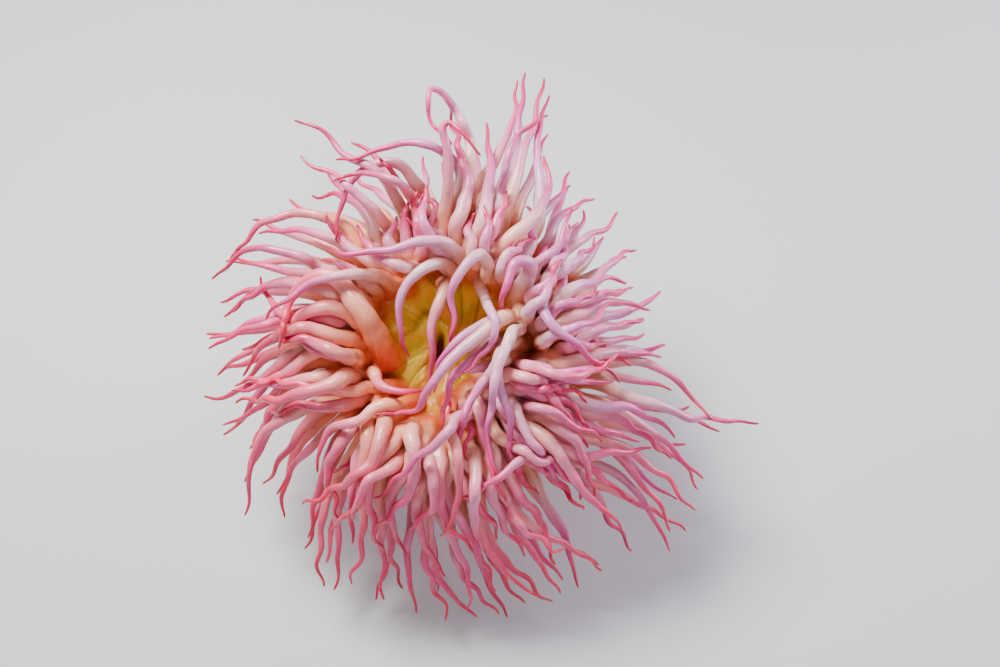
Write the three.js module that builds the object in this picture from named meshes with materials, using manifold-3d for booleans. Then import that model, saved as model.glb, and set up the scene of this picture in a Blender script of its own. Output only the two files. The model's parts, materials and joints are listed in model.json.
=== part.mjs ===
// A fish-eating sea anemone, life size and expanded, standing on its pedal disc.
// The crown of tentacles leans forward, towards -Y. Millimetres and degrees, +Z up,
// with the origin in the middle of the flat underside of the pedal disc.

import * as THREE from "three";
import Module from "manifold-3d";

const wasm = await Module();
wasm.setup();

// ---- Driving sizes -------------------------------------------------------------------

const GAP = 0.3;                     // between neighbouring pieces

const FOOT_RADIUS = 57;              // pedal disc, on the floor
const FOOT_RIM = 3;                  // thickness of its edge
const FOOT_TOP = 13;
const FOOT_SHOULDER = 0.65;          // height of its slope half way in, as a share of its top
const FOOT_WAVES = 5;                // round its edge
const FOOT_WAVE = 0.03;
const COLUMN_RADIUS = 43;
const COLUMN_WAIST = 40;
const COLUMN_SPLIT = 0.45;           // where the lower column ends, from foot to crown
const COLUMN_LENGTH = 82;            // along its bent middle
const COLUMN_SIDES = 18;

const CROWN_CENTRE = [0, -25, 114];
const CROWN_RISE = 56;               // how far above the horizon the crown faces
const DISC_AT = [-8, -4];            // middle of the oral disc, across and up the crown
const MARGIN_RADIUS = 66;
const MARGIN_EDGE = -23;             // lower edge of the crown's outside
const MARGIN_UNDERSIDE = -32;        // where the crown meets the column
const BASIN_DEPTH = 9;
const MARGIN_DROP = 17;
const RIDGE = 0.55;                  // highest ring of the disc, as a share of its radius
const LOBES = 6;
const LOBE_TURN = 20;
const LOBE_SWELL = 0.05;
const LOBE_RISE = 2.5;
const CROWN_SIDES = 20;
const ORAL_SHARE = 0.46;             // oral disc inside the first ring of tentacles
const ORAL_FLOOR = -22;
const ORAL_PROUD = 0.2;              // of the rim round it

const MOUTH_AT = [-17, -8];
const MOUTH_LENGTH = 34;
const MOUTH_TURN = 8;                // how far the slit leans from the crown's upright
const MOUTH_WIDTH = 9;               // between the middles of the two lips
const LIP_RADIUS = 3.4;
const LIP_PROUD = 1;
const LIP_BANDS = 12;
const LIP_SIDES = 6;

const ROOT_RADIUS = 5;               // a tentacle where it leaves the disc
const TIP_RADIUS = 1;
const TAPER = 0.8;
const TIP_POINT = 0.8;
const FACET_WIDEN = 1.08;            // so that a tube of few sides is as thick as a round one
const LINE_STEPS = 28;
const ROOT_OVERLAP = 1.2;            // how far the swollen roots of a fan run together
const ROOT_CROWD = 3;                // height of the roots over which others pass
const FLOOR_CLEAR = 6;
const TIP_DROOP = 16;                // extra droop of the tips on the high side

// How unlike each other the tentacles of a fan are.
const VARIETY = { reach: 0.12, aim: 5, tipHeight: 12, arch: 0.5, bow: 0.2, sway: 0.12 };
const SLOW_START = 1.2;              // a tentacle rises from the disc before it leans out
const EARLY_ARCH = 0.62;             // and its arch is highest in its first half
const FAN_STEPS = 40;

const FIXED_ROOT = 0.06;             // shares of a tentacle's length
const FREE_AFTER = 0.22;
const ROOT_SHARE = 0.12;
const CROWDED_SHARE = 0.3;
const ROOT_POINTS = 3;               // points of a middle line that stay with its root
const LAYER_ROUNDS = 90;
const LAYER_SPARE = 1.1;             // room kept between two tentacles that cross

const COLOURS = { crimson: 0x8e2430, yellow: 0xd0a63a, lips: 0xc4503f, tentacle: 0xdba3a0 };

// Rings of tentacles that grow in fans: distance from the middle of the disc, usual
// arch towards the viewer, height of the tips above the crown's plane, and thickness.
const RINGS = {
  second: { radius: 46, arch: 26, tip: 4, thick: 0.88, bands: 5, sides: 5 },
  third: { radius: 56, arch: 16, tip: -9, thick: 0.74, bands: 4, sides: 4 },
  outer: { radius: 64, arch: 7, tip: -24, thick: 0.7, bands: 4, sides: 4 },
};
const LONE = { thick: 0.72, bands: 6, sides: 5 };

// Fans: ring, count, root bearings, tip bearings, tip distances and sideways bow.
// Bearings run clockwise from the top of the crown as its face is looked at.
// Roots are measured round the middle of the disc, tips round the crown's centre.
const FANS = [
  ["second", 3, [352, 24], [352, 20], [112, 104], 0.06],
  ["second", 4, [61, 100], [54, 97], [82, 104], -0.1],
  ["second", 4, [109, 140], [114, 144], [116, 134], -0.08],
  ["second", 4, [152, 186], [158, 184], [122, 132], 0.1],
  ["second", 4, [196, 226], [194, 214], [126, 120], 0.14],
  ["second", 3, [268, 292], [262, 275], [122, 128], 0.16],
  ["third", 4, [8, 30], [9, 19], [142, 136], 0.06],
  ["third", 6, [39, 93], [30, 87], [102, 98], -0.04],
  ["third", 3, [105, 121], [108, 120], [130, 146], -0.1],
  ["third", 3, [134, 150], [129, 140], [146, 146], -0.08],
  ["third", 4, [157, 177], [152, 167], [136, 146], 0.08],
  ["third", 4, [184, 204], [174, 192], [148, 146], 0.1],
  ["third", 4, [211, 231], [201, 218], [152, 142], 0.1],
  ["third", 4, [238, 259], [230, 248], [140, 134], 0.12],
  ["third", 4, [266, 288], [258, 275], [140, 132], 0.14],
  ["third", 4, [296, 330], [286, 322], [128, 112], 0.14],
  ["outer", 5, [350, 26], [344, 20], [98, 112], 0.04],
  ["outer", 5, [34, 68], [24, 62], [104, 90], 0.06],
  ["outer", 4, [76, 103], [72, 104], [92, 112], -0.06],
  ["outer", 4, [110, 133], [108, 130], [130, 148], -0.08],
  ["outer", 4, [140, 162], [134, 156], [149, 142], -0.04],
  ["outer", 4, [169, 190], [161, 180], [143, 149], 0.06],
  ["outer", 4, [197, 218], [186, 206], [148, 153], 0.06],
  ["outer", 4, [225, 248], [211, 236], [149, 144], 0.08],
  ["outer", 5, [255, 281], [241, 268], [134, 138], 0.1],
  ["outer", 6, [288, 338], [276, 330], [136, 122], 0.08],
];

// Tentacles that stand out, each by the few places its middle line passes: bearing and
// distance from the crown's centre, then height above the crown's plane. The first
// place is the root, on the disc. Long bent ones are built in lengths.
const SOLO = {
  hook: { lengths: 3,
    way: [[353, 52], [0, 84, 20], [357, 114, 22], [351, 125, 28], [350, 109, 33], [354, 96, 31]] },
  crook: { way: [[333, 41], [353, 84, 30], [352, 111, 30], [358, 99, 37], [4, 89, 35]] },
  sweep: { way: [[337, 56], [339, 90, 20], [328, 99, 22], [316, 93, 24], [305, 82, 16]] },
  bough: { way: [[301, 50], [310, 88, 20], [303, 112, 18], [293, 125, 12], [286, 130, 2]] },
  traverse: { way: [[6, 30], [344, 48, 36], [318, 57, 40], [303, 73, 38], [302, 91, 30]] },
  swan: { lengths: 2, thick: 1.25,
    way: [[255, 45], [280, 54, 26], [293, 72, 30], [285, 90, 24], [266, 97, 12]] },
  left_long: { way: [[276, 44], [275, 78, 20], [273, 106, 16], [267, 136, 6]] },
  left_over: { way: [[307, 40], [298, 64, 36], [286, 86, 36], [274, 102, 28]] },
  stray: { way: [[249, 55], [243, 52, 26], [230, 44, 32], [218, 34, 26]] },
  low_left: { way: [[239, 55], [246, 92, 20], [243, 122, 14], [231, 150, 0]] },
  low_bend: { way: [[234, 45], [246, 68, 28], [254, 90, 24], [258, 112, 12]] },
  low_curl: { way: [[220, 44], [232, 68, 34], [236, 86, 28], [228, 105, 16]] },
  front_hang: { way: [[28, 28], [8, 40, 34], [346, 28, 42], [290, 9, 36], [225, 9, 28]] },
  disc_left: { way: [[350, 32], [332, 40, 34], [300, 39, 36], [268, 34, 28], [249, 33, 20]] },
  disc_middle: { way: [[336, 35], [328, 26, 28], [285, 19, 32], [240, 22, 26], [214, 37, 16]] },
  thumb: { thick: 0.95, way: [[54, 27], [43, 44, 28], [32, 42, 40], [40, 27, 42], [62, 17, 34]] },
  over_right: { way: [[47, 37], [70, 38, 40], [92, 48, 44], [107, 79, 28]] },
  cross: { thick: 0.8,
    way: [[78, 27], [64, 18, 34], [215, 14, 46], [217, 34, 44], [216, 47, 34], [231, 61, 22]] },
  plumb: { thick: 0.75, way: [[98, 28], [112, 18, 38], [148, 28, 48], [156, 50, 42], [163, 72, 26]] },
  mouth_side: { way: [[118, 30], [150, 18, 28], [202, 21, 32], [195, 44, 18]] },
  slant: { way: [[138, 32], [148, 44, 36], [150, 62, 36], [148, 96, 18]] },
  cross_long: { way: [[160, 36], [186, 42, 44], [200, 60, 48], [210, 94, 30]] },
  cross_low: { way: [[136, 53], [152, 64, 34], [168, 71, 42], [184, 83, 32]] },
  right_long: { lengths: 2, way: [[105, 49], [111, 88, 20], [110, 124, 10], [107, 157, -4]] },
};

// ---- Crown frame and surface ---------------------------------------------------------

const radians = THREE.MathUtils.degToRad;
const FACE = new THREE.Vector3(0, -Math.cos(radians(CROWN_RISE)), Math.sin(radians(CROWN_RISE)));
const UPRIGHT = new THREE.Vector3(0, Math.sin(radians(CROWN_RISE)), Math.cos(radians(CROWN_RISE)));

// A place on the crown, as across, up and height, to the object's own frame.
function toWorld([across, up, height]) {
  const point = new THREE.Vector3(...CROWN_CENTRE);
  point.x += across;
  point.addScaledVector(UPRIGHT, up);
  return point.addScaledVector(FACE, height);
}

function polar(bearing, distance, middle = [0, 0]) {
  const angle = radians(bearing);
  return [middle[0] + distance * Math.sin(angle), middle[1] + distance * Math.cos(angle)];
}

function lobe(bearing) {
  return Math.cos(radians(LOBES * (bearing - LOBE_TURN)));
}

function marginRadius(bearing) {
  return MARGIN_RADIUS * (1 + LOBE_SWELL * lobe(bearing));
}

// Height of the disc's surface: a basin round the mouth, a ridge, then a rolled margin.
function surfaceLevel(share, bearing) {
  const basin = BASIN_DEPTH * (1 - THREE.MathUtils.smoothstep(share, 0.25, RIDGE));
  const over = Math.max(0, share - RIDGE) / (1 - RIDGE);
  return LOBE_RISE * lobe(bearing) * share * share - basin - MARGIN_DROP * over * over;
}

function surfaceUnder(across, up) {
  const dx = across - DISC_AT[0];
  const dy = up - DISC_AT[1];
  const bearing = THREE.MathUtils.radToDeg(Math.atan2(dx, dy));
  return { share: Math.hypot(dx, dy) / marginRadius(bearing), bearing };
}

// ---- Closed solids -------------------------------------------------------------------

// A solid through rings of points, with flat ends, or with a point in place of one.
function loft(rings, firstPoint = null, lastPoint = null) {
  const count = rings[0].length;
  const points = rings.flat();
  const faces = [];
  for (let row = 0; row + 1 < rings.length; row++) {
    for (let i = 0; i < count; i++) {
      const a = row * count + i;
      const b = row * count + ((i + 1) % count);
      faces.push([a, b, b + count], [a, b + count, a + count]);
    }
  }
  const last = (rings.length - 1) * count;
  closeEnd(points, faces, 0, count, firstPoint, true);
  closeEnd(points, faces, last, count, lastPoint, false);
  return solid(points, faces);
}

// A solid ring, such as a torus, through rings that come back to the first.
function loop(rings) {
  const count = rings[0].length;
  const faces = [];
  rings.forEach((_, row) => {
    const here = row * count;
    const next = ((row + 1) % rings.length) * count;
    for (let i = 0; i < count; i++) {
      const j = (i + 1) % count;
      faces.push([here + i, here + j, next + j], [here + i, next + j, next + i]);
    }
  });
  return solid(rings.flat(), faces);
}

function closeEnd(points, faces, start, count, apex, flip) {
  const add = (a, b, c) => faces.push(flip ? [a, c, b] : [a, b, c]);
  if (apex) {
    points.push(apex);
    for (let i = 0; i < count; i++) add(start + i, start + ((i + 1) % count), points.length - 1);
    return;
  }
  for (let i = 1; i + 1 < count; i++) add(start, start + i, start + i + 1);
}

function solid(points, faces) {
  let volume = 0;
  for (const [a, b, c] of faces) {
    volume += points[a].dot(points[b].clone().cross(points[c]));
  }
  const turned = volume < 0 ? faces.map(([a, b, c]) => [a, c, b]) : faces;
  return new wasm.Manifold(new wasm.Mesh({
    numProp: 3,
    vertProperties: new Float32Array(points.flatMap((p) => [p.x, p.y, p.z])),
    triVerts: new Uint32Array(turned.flat()),
  }));
}

// A round tube of changing thickness along a line of points. It may stand on a base,
// an oval on the disc's surface, and it ends flat or in a point.
function tube(line, radii, sides, base, pointed) {
  const rings = [];
  let side = base ? base.wide.clone() : new THREE.Vector3(1, 0.2, 0.1);
  line.forEach((point, i) => {
    const before = line[Math.max(0, i - 1)];
    const after = line[Math.min(line.length - 1, i + 1)];
    const along = base && i === 0 ? base.normal : after.clone().sub(before).normalize();
    side = side.clone().addScaledVector(along, -side.dot(along)).normalize();
    const other = along.clone().cross(side);
    const width = base && i === 0 ? base.halfWidth : radii[i];
    const ring = [];
    for (let k = 0; k < sides; k++) {
      const angle = (2 * Math.PI * (k + 0.5)) / sides;
      ring.push(point.clone()
        .addScaledVector(side, width * Math.cos(angle))
        .addScaledVector(other, radii[i] * Math.sin(angle)));
    }
    rings.push(ring);
  });
  if (!pointed) return loft(rings);
  const end = line[line.length - 1];
  const ahead = end.clone().sub(line[line.length - 2]).normalize();
  return loft(rings, null, end.clone().addScaledVector(ahead, TIP_POINT));
}

// ---- Middle lines of the tentacles ---------------------------------------------------

// An even scatter of values from 0 to 1 for a tentacle's number and a trait.
function scatter(number, trait) {
  const mixed = number * 53 + trait * 97 + 13;
  return ((mixed * mixed) % 1009) / 1009;
}

function resample(points, steps) {
  const run = [0];
  for (let i = 1; i < points.length; i++) {
    run.push(run[i - 1] + Math.hypot(...points[i].map((value, axis) => value - points[i - 1][axis])));
  }
  const line = [];
  let at = 0;
  for (let k = 0; k <= steps; k++) {
    const target = (run[run.length - 1] * k) / steps;
    while (at + 2 < points.length && run[at + 1] < target) at++;
    const part = (target - run[at]) / (run[at + 1] - run[at]);
    line.push(points[at].map((value, axis) => value + (points[at + 1][axis] - value) * part));
  }
  return line;
}

// A smooth line through a few places.
function through(places, perSpan = 8) {
  const points = [];
  for (let i = 0; i + 1 < places.length; i++) {
    const a = places[Math.max(0, i - 1)];
    const b = places[i];
    const c = places[i + 1];
    const d = places[Math.min(places.length - 1, i + 2)];
    for (let k = 0; k < perSpan; k++) {
      const t = k / perSpan;
      points.push([0, 1, 2].map((axis) => spline(a[axis], b[axis], c[axis], d[axis], t)));
    }
  }
  points.push(places[places.length - 1]);
  return points;
}

function spline(a, b, c, d, t) {
  const cubic = 3 * b - a - 3 * c + d;
  const square = 2 * a - 5 * b + 4 * c - d;
  return 0.5 * (2 * b + (c - a) * t + square * t * t + cubic * t * t * t);
}

function onSurface(across, up) {
  const { share, bearing } = surfaceUnder(across, up);
  return [across, up, surfaceLevel(share, bearing) + GAP];
}

// The disc's surface under a root: its normal, and the direction round the ring.
function rootBase([across, up], halfWidth) {
  const step = 0.5;
  const here = toWorld(onSurface(across, up));
  const round = [up - DISC_AT[1], DISC_AT[0] - across];
  const reach = Math.hypot(...round);
  const [a, b] = round.map((value) => (value * step) / reach);
  const wide = toWorld(onSurface(across + a, up + b)).sub(here).normalize();
  const outward = toWorld(onSurface(across - b, up + a)).sub(here).normalize();
  const normal = wide.clone().cross(outward).normalize();
  return { wide, normal: normal.dot(FACE) < 0 ? normal.negate() : normal, halfWidth };
}

function soloLine({ way }) {
  const places = way.map(([bearing, distance, height]) => [...polar(bearing, distance), height]);
  places[0] = onSurface(places[0][0], places[0][1]);
  return through(places);
}

function fanLine(ring, rootBearing, tipBearing, distance, bow, number) {
  const root = onSurface(...polar(rootBearing, ring.radius, DISC_AT));
  const vary = (trait) => scatter(number, trait) - 0.5;
  const reach = distance * (1 + VARIETY.reach * vary(1));
  const tip = polar(tipBearing + VARIETY.aim * vary(2), reach);
  const droop = TIP_DROOP * Math.max(0, Math.cos(radians(tipBearing)) + 0.3);
  const tipHeight = ring.tip - droop + VARIETY.tipHeight * vary(3);
  const arch = ring.arch * (1 + VARIETY.arch * vary(4));
  const sideways = bow + VARIETY.bow * vary(5);
  const sway = VARIETY.sway * vary(6);
  const chord = [tip[0] - root[0], tip[1] - root[1]];
  const points = [];
  for (let k = 0; k <= FAN_STEPS; k++) {
    const t = k / FAN_STEPS;
    const travel = t ** SLOW_START;
    const shift = sideways * Math.sin(Math.PI * t) + sway * Math.sin(2 * Math.PI * t);
    points.push([
      root[0] + chord[0] * travel + chord[1] * shift,
      root[1] + chord[1] * travel - chord[0] * shift,
      root[2] + (tipHeight - root[2]) * t + arch * Math.sin(Math.PI * t ** EARLY_ARCH),
    ]);
  }
  return points;
}

function between([from, to], part) {
  const turn = Math.abs(to - from) > 180 ? (to - from) - 360 * Math.sign(to - from) : to - from;
  return from + turn * part;
}

function thickness(thick, t) {
  return TIP_RADIUS + (ROOT_RADIUS * thick - TIP_RADIUS) * (1 - t) ** TAPER;
}

// Every tentacle, by bundle. A bundle is one fan or one that stands out.
function allTentacles() {
  const bundles = [];
  let number = 0;
  for (const [name, one] of Object.entries(SOLO)) {
    const line = resample(soloLine(one), LINE_STEPS);
    const tentacle = { number: number++, line, thick: one.thick ?? LONE.thick };
    bundles.push({
      name: `tentacle_${name}`,
      lengths: one.lengths ?? 1,
      form: LONE,
      tentacles: [tentacle],
    });
  }
  FANS.forEach(([ringName, count, roots, tips, distances, bow], fan) => {
    const ring = RINGS[ringName];
    const tentacles = [];
    const spacing = radians(Math.abs(between(roots, 1) - roots[0])) * ring.radius / (count - 1);
    const rootHalfWidth = (spacing / 2 + ROOT_OVERLAP) / Math.cos(Math.PI / 4);
    for (let i = 0; i < count; i++) {
      const part = i / (count - 1);
      const distance = distances[0] + (distances[1] - distances[0]) * part;
      const rough = fanLine(ring, between(roots, part), between(tips, part), distance, bow, number);
      const line = resample(rough, LINE_STEPS);
      tentacles.push({ number: number++, line, thick: ring.thick, rootHalfWidth });
    }
    const name = `tentacles_${ringName}_${String(fan + 1).padStart(2, "0")}`;
    bundles.push({ name, lengths: 1, form: ring, tentacles });
  });
  layer(bundles.flatMap((bundle) => bundle.tentacles));
  return bundles;
}

// Tentacles that cross keep clear of each other in height, the nearer one in front.
function layer(tentacles) {
  const row = LINE_STEPS + 1;
  const height = tentacles.flatMap((one) => one.line.map((point) => point[2]));
  const pairs = crossings(tentacles, height);
  const lowest = tentacles.flatMap((one) => one.line.map((point, k) => lowestHeight(one, point, k)));
  for (let round = 0; round < LAYER_ROUNDS; round++) {
    const push = new Float64Array(height.length);
    const hits = new Float64Array(height.length);
    for (const { a, b, apart, sign } of pairs) {
      const short = apart - sign * (height[a] - height[b]);
      if (short <= 0) continue;
      push[a] += (sign * short) / 2;
      push[b] -= (sign * short) / 2;
      hits[a] += 1;
      hits[b] += 1;
    }
    const step = height.map(
      (_, i) => (push[i] / Math.max(1, hits[i])) * freedom((i % row) / LINE_STEPS),
    );
    for (let i = 0; i < height.length; i++) {
      const k = i % row;
      const before = step[k > 0 ? i - 1 : i];
      const after = step[k < LINE_STEPS ? i + 1 : i];
      height[i] = Math.max(height[i] + (before + 2 * step[i] + after) / 4, lowest[i]);
    }
  }
  tentacles.forEach((one, n) => one.line.forEach((point, k) => {
    point[2] = height[n * row + k];
  }));
}

// How far a place on a tentacle may be pushed: its root stays where it grows.
function freedom(t) {
  return THREE.MathUtils.clamp((t - FIXED_ROOT) / FREE_AFTER, 0, 1);
}

// How low a tentacle may lie: clear of the floor, and of the disc that it crosses.
function lowestHeight(one, [across, up, height], k) {
  const t = k / LINE_STEPS;
  if (t < ROOT_SHARE) return -Infinity;
  const floor = (FLOOR_CLEAR - CROWN_CENTRE[2] - up * UPRIGHT.z) / FACE.z;
  const { share, bearing } = surfaceUnder(across, up);
  if (share > 1) return floor;
  const over = surfaceLevel(share, bearing) + thickness(one.thick, t);
  return Math.max(floor, over + (t > CROWDED_SHARE ? ROOT_CROWD : 0));
}

function crossings(tentacles, height) {
  const samples = tentacles.flatMap((one, n) => one.line.map((point, k) => (
    { n, x: point[0], y: point[1], r: thickness(one.thick, k / LINE_STEPS), near: k < ROOT_POINTS })));
  const pairs = [];
  const lead = new Map();
  for (let a = 0; a < samples.length; a++) {
    for (let b = a + 1; b < samples.length; b++) {
      const one = samples[a];
      const two = samples[b];
      if (one.n === two.n || (one.near && two.near)) continue;
      const room = one.r + two.r + LAYER_SPARE;
      const square = room * room - (one.x - two.x) ** 2 - (one.y - two.y) ** 2;
      if (square <= 0) continue;
      const key = one.n * tentacles.length + two.n;
      lead.set(key, (lead.get(key) ?? 0) + height[a] - height[b]);
      pairs.push({ a, b, apart: Math.sqrt(square), key });
    }
  }
  for (const pair of pairs) pair.sign = lead.get(pair.key) >= 0 ? 1 : -1;
  return pairs;
}

// ---- Body ----------------------------------------------------------------------------

// A ring round the column, from the foot (0) to the crown's underside (1).
function columnRing(share, radius) {
  const top = toWorld([...DISC_AT, MARGIN_UNDERSIDE - GAP]);
  const start = new THREE.Vector3(0, 0, FOOT_TOP);
  const bend = top.clone().addScaledVector(FACE, -0.5 * top.z);
  const middle = new THREE.QuadraticBezierCurve3(start, bend, top).getPoint(share);
  const lean = radians(90 - CROWN_RISE) * share;
  const back = new THREE.Vector3(0, Math.cos(lean), Math.sin(lean));
  const ring = [];
  for (let k = 0; k < COLUMN_SIDES; k++) {
    const angle = (2 * Math.PI * k) / COLUMN_SIDES;
    ring.push(middle.clone()
      .addScaledVector(back, radius * Math.cos(angle))
      .add(new THREE.Vector3(radius * Math.sin(angle), 0, 0)));
  }
  return ring;
}

function flatRing(radius, height) {
  const ring = [];
  for (let k = 0; k < COLUMN_SIDES; k++) {
    const angle = (2 * Math.PI * k) / COLUMN_SIDES;
    const wave = radius * (1 + FOOT_WAVE * Math.cos(FOOT_WAVES * angle + 1));
    ring.push(new THREE.Vector3(wave * Math.sin(angle), wave * Math.cos(angle), height));
  }
  return ring;
}

function columnRadius(share) {
  return COLUMN_WAIST + (COLUMN_RADIUS - COLUMN_WAIST) * (2 * share - 1) ** 2;
}

function column(from, to, bands) {
  const rings = [];
  for (let k = 0; k <= bands; k++) {
    const share = from + ((to - from) * k) / bands;
    rings.push(columnRing(share, columnRadius(share)));
  }
  return loft(rings);
}

function pedalDisc() {
  const top = FOOT_TOP - GAP;
  return loft([
    flatRing(FOOT_RADIUS, 0),
    flatRing(FOOT_RADIUS, FOOT_RIM),
    flatRing((FOOT_RADIUS + COLUMN_RADIUS) / 2, top * FOOT_SHOULDER),
    flatRing(COLUMN_RADIUS, top),
  ]);
}

function crownRing(share, level, extra) {
  const ring = [];
  for (let k = 0; k < CROWN_SIDES; k++) {
    const bearing = (360 * k) / CROWN_SIDES;
    const place = polar(bearing, share * marginRadius(bearing) + extra, DISC_AT);
    ring.push(toWorld([...place, level(bearing)]));
  }
  return ring;
}

// The thick rim of the crown that the tentacles grow from.
function crown(extra) {
  const onTop = (share) => crownRing(share, (bearing) => surfaceLevel(share, bearing) + extra, 0);
  const below = (share, height) => crownRing(share, () => height, extra);
  const middle = toWorld([...DISC_AT, -BASIN_DEPTH + extra]);
  const shares = [0.3, 0.45, RIDGE, 0.75, 0.9];
  return loft([
    ...shares.map(onTop),
    crownRing(1, (bearing) => surfaceLevel(1, bearing), extra),
    below(0.98, MARGIN_EDGE),
    below(COLUMN_RADIUS / MARGIN_RADIUS, MARGIN_UNDERSIDE),
  ], middle, null);
}

function oralDisc(extra) {
  const level = (share) => (bearing) => surfaceLevel(share, bearing) + ORAL_PROUD + extra;
  const top = (share) => crownRing(share, level(share), 0);
  const middle = toWorld([...DISC_AT, -BASIN_DEPTH + ORAL_PROUD + extra]);
  return loft([
    top(0.25),
    top(0.36),
    crownRing(ORAL_SHARE, (bearing) => surfaceLevel(ORAL_SHARE, bearing) + ORAL_PROUD + extra, extra),
    crownRing(ORAL_SHARE, () => ORAL_FLOOR - extra, extra),
  ], middle, null);
}

// The swollen lips, one long loop round the slit of the mouth.
function lips(extra) {
  const rings = [];
  for (let k = 0; k < LIP_BANDS; k++) {
    const angle = (2 * Math.PI * k) / LIP_BANDS;
    const ring = [];
    for (let m = 0; m < LIP_SIDES; m++) {
      const round = (2 * Math.PI * m) / LIP_SIDES;
      const wide = MOUTH_WIDTH / 2 + (LIP_RADIUS + extra) * Math.cos(round);
      const long = MOUTH_LENGTH / 2 + (LIP_RADIUS + extra) * Math.cos(round);
      const [across, up] = turned(wide * Math.sin(angle), long * Math.cos(angle), MOUTH_TURN);
      const { share, bearing } = surfaceUnder(MOUTH_AT[0] + across, MOUTH_AT[1] + up);
      const height = surfaceLevel(share, bearing) + (LIP_RADIUS + extra) * Math.sin(round) + LIP_PROUD;
      ring.push(toWorld([MOUTH_AT[0] + across, MOUTH_AT[1] + up, height]));
    }
    rings.push(ring);
  }
  return loop(rings);
}

function turned(across, up, angle) {
  const cos = Math.cos(radians(angle));
  const sin = Math.sin(radians(angle));
  return [across * cos + up * sin, up * cos - across * sin];
}

// ---- Tentacle solids -----------------------------------------------------------------

// One length of a tentacle, from one share of its line to another.
function tentacleSolid(tentacle, form, from, to, extra) {
  const line = [];
  const radii = [];
  const bands = Math.ceil(form.bands * (to - from)) + (from > 0 || to < 1 ? 1 : 0);
  for (let k = 0; k <= bands; k++) {
    const at = Math.round((from + ((to - from) * k) / bands) * LINE_STEPS);
    line.push(toWorld(tentacle.line[at]));
    radii.push(thickness(tentacle.thick, at / LINE_STEPS) * FACET_WIDEN + extra);
  }
  if (from > 0) {
    const ahead = line[1].clone().sub(line[0]).normalize();
    line[0].addScaledVector(ahead, GAP);
    return tube(line, radii, form.sides, null, to === 1);
  }
  const halfWidth = (tentacle.rootHalfWidth ?? radii[0]) + extra;
  return tube(line, radii, form.sides, rootBase(tentacle.line[0], halfWidth), to === 1);
}

function bundleSolid(bundle, from, to, extra) {
  const solids = bundle.tentacles.map((one) => tentacleSolid(one, bundle.form, from, to, extra));
  return solids.reduce((whole, next) => whole.add(next));
}

// ---- The pieces, each clear of those before it ---------------------------------------

const model = new THREE.Group();
const placed = [];

function largest(solidPiece) {
  const bodies = solidPiece.decompose();
  return bodies.reduce((best, body) => (body.volume() > best.volume() ? body : best));
}

function boxesMeet(one, two) {
  const a = one.boundingBox();
  const b = two.boundingBox();
  return [0, 1, 2].every((axis) => a.min[axis] <= b.max[axis] && b.min[axis] <= a.max[axis]);
}

// Adds a piece, trimmed back from the fattened copies of the earlier ones.
function addPiece(name, shape, fat, colour) {
  let piece = shape;
  for (const earlier of placed) {
    if (boxesMeet(piece, earlier)) piece = piece.subtract(earlier);
  }
  piece = largest(piece);
  placed.push(fat, shape);
  const { vertProperties, triVerts } = piece.getMesh();
  const geometry = new THREE.BufferGeometry();
  geometry.setAttribute("position", new THREE.BufferAttribute(vertProperties, 3));
  geometry.setIndex(new THREE.BufferAttribute(triVerts, 1));
  const material = new THREE.MeshStandardMaterial({ color: colour, roughness: 0.35, metalness: 0 });
  const mesh = new THREE.Mesh(geometry, material);
  mesh.name = name;
  model.add(mesh);
}

function addBody() {
  addPiece("pedal_disc", pedalDisc(), pedalDisc(), COLOURS.crimson);
  const lower = column(0, COLUMN_SPLIT, 3);
  const upper = column(COLUMN_SPLIT + GAP / COLUMN_LENGTH, 1, 4);
  addPiece("column_lower", lower, lower, COLOURS.crimson);
  addPiece("column_upper", upper, upper, COLOURS.crimson);
  addPiece("mouth_lips", lips(0), lips(GAP), COLOURS.lips);
  addPiece("oral_disc", oralDisc(0), oralDisc(GAP), COLOURS.yellow);
  addPiece("crown_margin", crown(0), crown(GAP), COLOURS.crimson);
}

function addTentacles() {
  for (const bundle of allTentacles()) {
    for (let n = 0; n < bundle.lengths; n++) {
      const name = bundle.lengths > 1 ? `${bundle.name}_${n + 1}` : bundle.name;
      const from = n / bundle.lengths;
      const to = (n + 1) / bundle.lengths;
      const piece = bundleSolid(bundle, from, to, 0);
      const cutter = bundleSolid(bundle, from, to, GAP);
      addPiece(name, piece, cutter, COLOURS.tentacle);
    }
  }
}

addBody();
addTentacles();

export default model;
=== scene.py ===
"""Looks of the sea anemone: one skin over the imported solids, on a pale studio floor.

The skin repeats the sizes and the middle lines of the solids in millimetres, in the
crown's own frame (across, up, height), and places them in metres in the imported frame.
"""
import json
import math

import bmesh
import bpy
import numpy as np
from mathutils import Matrix, Vector

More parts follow.
